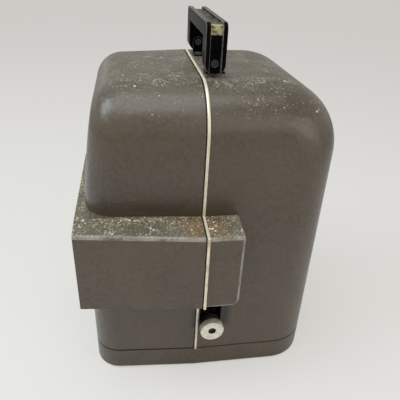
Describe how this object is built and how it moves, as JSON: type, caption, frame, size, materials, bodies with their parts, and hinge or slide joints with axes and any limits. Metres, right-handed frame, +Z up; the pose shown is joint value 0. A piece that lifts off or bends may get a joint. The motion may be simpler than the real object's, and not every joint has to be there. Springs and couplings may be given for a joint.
{
  "type": "movie projector",
  "caption": "Portable film projector closed in its own metal case, with a lens box on the front, a pull-off side cover, a folding carrying handle and a tilt knob.",
  "frame": {"origin": "on the table under the middle of the case", "axes": "+X to the right and +Y to the back as seen from the lens side, +Z up"},
  "size_m": [0.2222, 0.2056, 0.3294],
  "materials": {
    "case_paint": "satin taupe-grey stoving enamel with a fine texture",
    "trim_metal": "aged silver bead",
    "knob_metal": "turned and knurled",
    "handle_plastic": "glossy black moulding",
    "blackened_steel": "black finished steel",
    "bright_steel": "ground and plated",
    "bearing_bronze": "sintered bronze",
    "plate_enamel": "grey enamel",
    "lamphouse_sheet": "pressed sheet",
    "foot_rubber": "moulded",
    "belt_rubber": "round belt",
    "optical_glass": "polished",
    "mirror_coat": "polished",
    "resistor_ceramic": "unglazed",
    "phenolic": "dark moulding",
    "gear_fibre": "laminated fibre",
    "motor_enamel": "grey-black enamel"
  },
  "bodies": {
    "case": {"body_shell": "case_paint", "base_pan": "case_paint", "bottom_plate": "blackened_steel", "rubber_feet": "foot_rubber", "trim_bead": "trim_metal", "mechanism_plate": "plate_enamel", "plate_screws": "bright_steel", "bearing_bushes": "bearing_bronze", "handle_brackets": "blackened_steel", "handle_pins": "bright_steel", "bracket_screws": "bright_steel", "tilt_bushing": "blackened_steel", "aperture_plate": "bright_steel", "guide_rods": "bright_steel", "film_shoes": "blackened_steel", "lamphouse": "lamphouse_sheet", "lamphouse_cap": "blackened_steel", "lamp_socket": "phenolic", "lamp_collar": "bearing_bronze", "lamp_bulb": "optical_glass", "reflector": "mirror_coat", "condenser_tube": "blackened_steel", "condenser_glasses": "optical_glass", "motor_housing": "motor_enamel", "motor_cradle": "blackened_steel", "fan_shroud": "lamphouse_sheet", "drive_belt": "belt_rubber", "speed_resistor": "resistor_ceramic", "power_inlet": "phenolic", "inlet_pins": "bearing_bronze"},
    "cover": {"cover_shell": "case_paint"},
    "handle": {"handle_grip": "handle_plastic"},
    "tilt_drive": {"tilt_knob": "knob_metal", "tilt_shaft": "bright_steel"},
    "tilt_leg": {"tilt_rack": "bright_steel", "tilt_foot": "foot_rubber"},
    "gate_carriage": {"lens_carriage": "blackened_steel", "pressure_plate": "bright_steel"},
    "lens": {"lens_barrel": "blackened_steel", "lens_glasses": "optical_glass"},
    "rotor": {"motor_shaft": "bright_steel", "motor_pulley": "bearing_bronze", "fan_wheel": "lamphouse_sheet"},
    "main_drive": {"main_shaft": "bright_steel", "main_gear": "gear_fibre", "main_pulley": "knob_metal"},
    "shutter": {"shutter_drum": "blackened_steel", "shutter_shaft": "bright_steel", "shutter_gear": "bearing_bronze"},
    "upper_drive": {"upper_sprocket": "bright_steel", "upper_gear": "gear_fibre"},
    "lower_drive": {"lower_sprocket": "bright_steel", "lower_gear": "gear_fibre"},
    "supply_side": {"supply_arm": "blackened_steel"},
    "supply_reel_drive": {"supply_spindle": "bright_steel"},
    "take_up_side": {"take_up_arm": "blackened_steel"},
    "take_up_reel_drive": {"take_up_spindle": "bright_steel"},
    "speed_control": {"speed_knob": "phenolic"},
    "lamp_switch": {"switch_lever": "phenolic"}
  },
  "joints": [
    {"name": "cover_pull", "type": "slide", "parent": "case", "child": "cover", "axis": [-1, 0, 0], "range_m": [0, 0.16]},
    {"name": "handle_fold", "type": "hinge", "parent": "case", "child": "handle", "pos_m": [-0.00045, 0.0091, 0.3004], "axis": [0, 1, 0], "range_deg": [0, 88]},
    {"name": "tilt_turn", "type": "hinge", "parent": "case", "child": "tilt_drive", "pos_m": [0.00475, -0.0684, 0.061], "axis": [0, 1, 0], "range_deg": [0, 287]},
    {"name": "tilt_travel", "type": "slide", "parent": "case", "child": "tilt_leg", "axis": [0, 0, -1], "range_m": [0, 0.03]},
    {"name": "gate_open", "type": "slide", "parent": "case", "child": "gate_carriage", "axis": [0, -1, 0], "range_m": [0, 0.005]},
    {"name": "lens_focus", "type": "slide", "parent": "gate_carriage", "child": "lens", "axis": [0, -1, 0], "range_m": [-0.003, 0.003]},
    {"name": "main_spin", "type": "hinge", "parent": "case", "child": "main_drive", "pos_m": [-0.00965, 0.0136, 0.149], "axis": [1, 0, 0], "continuous": true},
    {"name": "rotor_spin", "type": "hinge", "parent": "case", "child": "rotor", "pos_m": [-0.00965, 0.0376, 0.084], "axis": [1, 0, 0], "continuous": true},
    {"name": "shutter_spin", "type": "hinge", "parent": "case", "child": "shutter", "pos_m": [-0.00965, -0.0264, 0.149], "axis": [1, 0, 0], "continuous": true},
    {"name": "upper_sprocket_spin", "type": "hinge", "parent": "case", "child": "upper_drive", "pos_m": [-0.00965, -0.01597, 0.18424], "axis": [1, 0, 0], "continuous": true},
    {"name": "lower_sprocket_spin", "type": "hinge", "parent": "case", "child": "lower_drive", "pos_m": [-0.00965, -0.01597, 0.11376], "axis": [1, 0, 0], "continuous": true},
    {"name": "supply_arm_swing", "type": "hinge", "parent": "case", "child": "supply_side", "pos_m": [-0.00965, 0.0516, 0.238], "axis": [-1, 0, 0], "range_deg": [0, 22]},
    {"name": "supply_spin", "type": "hinge", "parent": "supply_side", "child": "supply_reel_drive", "pos_m": [-0.00965, -0.0404, 0.238], "axis": [-1, 0, 0], "continuous": true},
    {"name": "take_up_arm_swing", "type": "hinge", "parent": "case", "child": "take_up_side", "pos_m": [-0.00965, 0.0516, 0.062], "axis": [1, 0, 0], "range_deg": [0, 14]},
    {"name": "take_up_spin", "type": "hinge", "parent": "take_up_side", "child": "take_up_reel_drive", "pos_m": [-0.00965, -0.0404, 0.062], "axis": [-1, 0, 0], "continuous": true},
    {"name": "speed_turn", "type": "hinge", "parent": "case", "child": "speed_control", "pos_m": [-0.00965, 0.0776, 0.092], "axis": [-1, 0, 0], "range_deg": [0, 270]},
    {"name": "lamp_switch_turn", "type": "hinge", "parent": "case", "child": "lamp_switch", "pos_m": [-0.00965, 0.0776, 0.128], "axis": [-1, 0, 0], "range_deg": [0, 60]}
  ],
  "couplings": [
    {"joint": "tilt_turn", "follows": "tilt_travel", "rad_per_m": 166.67},
    {"joint": "main_spin", "follows": "rotor_spin", "ratio": 0.36364},
    {"joint": "shutter_spin", "follows": "rotor_spin", "ratio": -1.0909},
    {"joint": "upper_sprocket_spin", "follows": "rotor_spin", "ratio": -0.68182},
    {"joint": "lower_sprocket_spin", "follows": "rotor_spin", "ratio": -0.68182}
  ]
}
